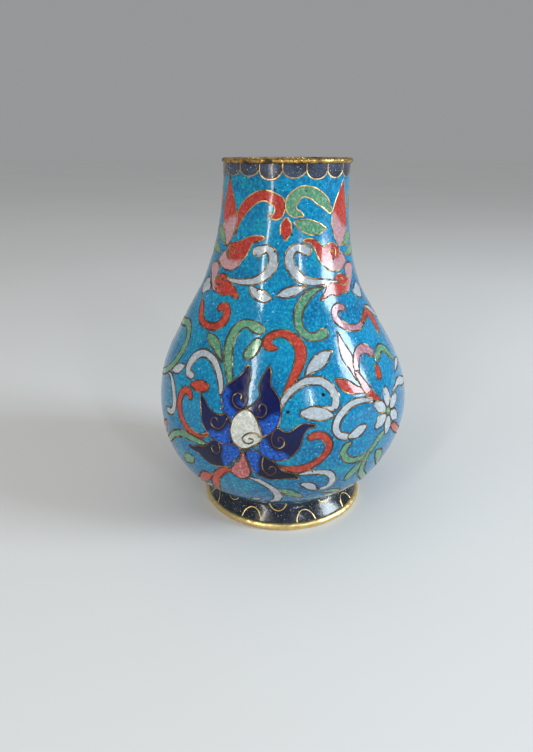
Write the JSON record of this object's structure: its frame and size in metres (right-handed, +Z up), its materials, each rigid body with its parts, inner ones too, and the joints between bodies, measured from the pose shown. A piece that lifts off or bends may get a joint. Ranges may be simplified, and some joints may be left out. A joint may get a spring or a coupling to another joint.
{
  "type": "cloisonne vase",
  "caption": "Small pear-shaped cloisonne vase on a flared foot, turquoise with lotus scrolls in wire cells, gilt at the lip and foot.",
  "frame": {"origin": "middle of the foot's resting face", "axes": "+Z up along the axis of revolution, -Y towards the front lotus side, +X to the right of the front view"},
  "size_m": [0.0652, 0.0652, 0.09],
  "materials": {
    "copper": "spun copper, dull where bare",
    "gilt_rim": "gilt copper, polished, worn along its edge",
    "gilt_wire": "thin gilt copper wire, polished flush",
    "turquoise_enamel": "fired glass enamel, polished, with fine grain and pinholes",
    "dark_enamel": "fired glass enamel, polished, with fine grain and pinholes",
    "lapis_enamel": "fired glass enamel, polished, with fine grain and pinholes, running to near black at the petal tips",
    "white_enamel": "fired glass enamel, polished, with fine grain and pinholes",
    "red_enamel": "fired glass enamel, polished, with fine grain and pinholes",
    "green_enamel": "fired glass enamel, polished, with fine grain and pinholes",
    "pink_enamel": "fired glass enamel, polished, with fine grain and pinholes"
  },
  "bodies": {
    "root": {"copper_body": "copper", "copper_foot": "copper", "lip_collar": "gilt_rim", "foot_rim": "gilt_rim", "lining_enamel": "turquoise_enamel", "base_enamel": "turquoise_enamel", "turquoise_ground": "turquoise_enamel", "neck_band_enamel": "dark_enamel", "neck_band_wires": "gilt_wire", "foot_band_enamel": "dark_enamel", "foot_band_wires": "gilt_wire", "front_lotus_petals": "lapis_enamel", "front_lotus_heart": "white_enamel", "front_lotus_calyx": "pink_enamel", "front_lotus_wires": "gilt_wire", "front_flower_petals": "white_enamel", "front_flower_eye": "green_enamel", "front_flower_wires": "gilt_wire", "front_neck_red": "red_enamel", "front_neck_green": "green_enamel", "front_neck_white": "white_enamel", "front_neck_pink": "pink_enamel", "front_neck_wires": "gilt_wire", "front_shoulder_red": "red_enamel", "front_shoulder_green": "green_enamel", "front_shoulder_white": "white_enamel", "front_shoulder_pink": "pink_enamel", "front_shoulder_wires": "gilt_wire", "front_belly_red": "red_enamel", "front_belly_green": "green_enamel", "front_belly_white": "white_enamel", "front_belly_wires": "gilt_wire", "back_lotus_petals": "lapis_enamel", "back_lotus_heart": "white_enamel", "back_lotus_calyx": "pink_enamel", "back_lotus_wires": "gilt_wire", "back_flower_petals": "white_enamel", "back_flower_eye": "green_enamel", "back_flower_wires": "gilt_wire", "back_neck_red": "red_enamel", "back_neck_green": "green_enamel", "back_neck_white": "white_enamel", "back_neck_pink": "pink_enamel", "back_neck_wires": "gilt_wire", "back_shoulder_red": "red_enamel", "back_shoulder_green": "green_enamel", "back_shoulder_white": "white_enamel", "back_shoulder_pink": "pink_enamel", "back_shoulder_wires": "gilt_wire", "back_belly_red": "red_enamel", "back_belly_green": "green_enamel", "back_belly_white": "white_enamel", "back_belly_wires": "gilt_wire"}
  },
  "joints": []
}
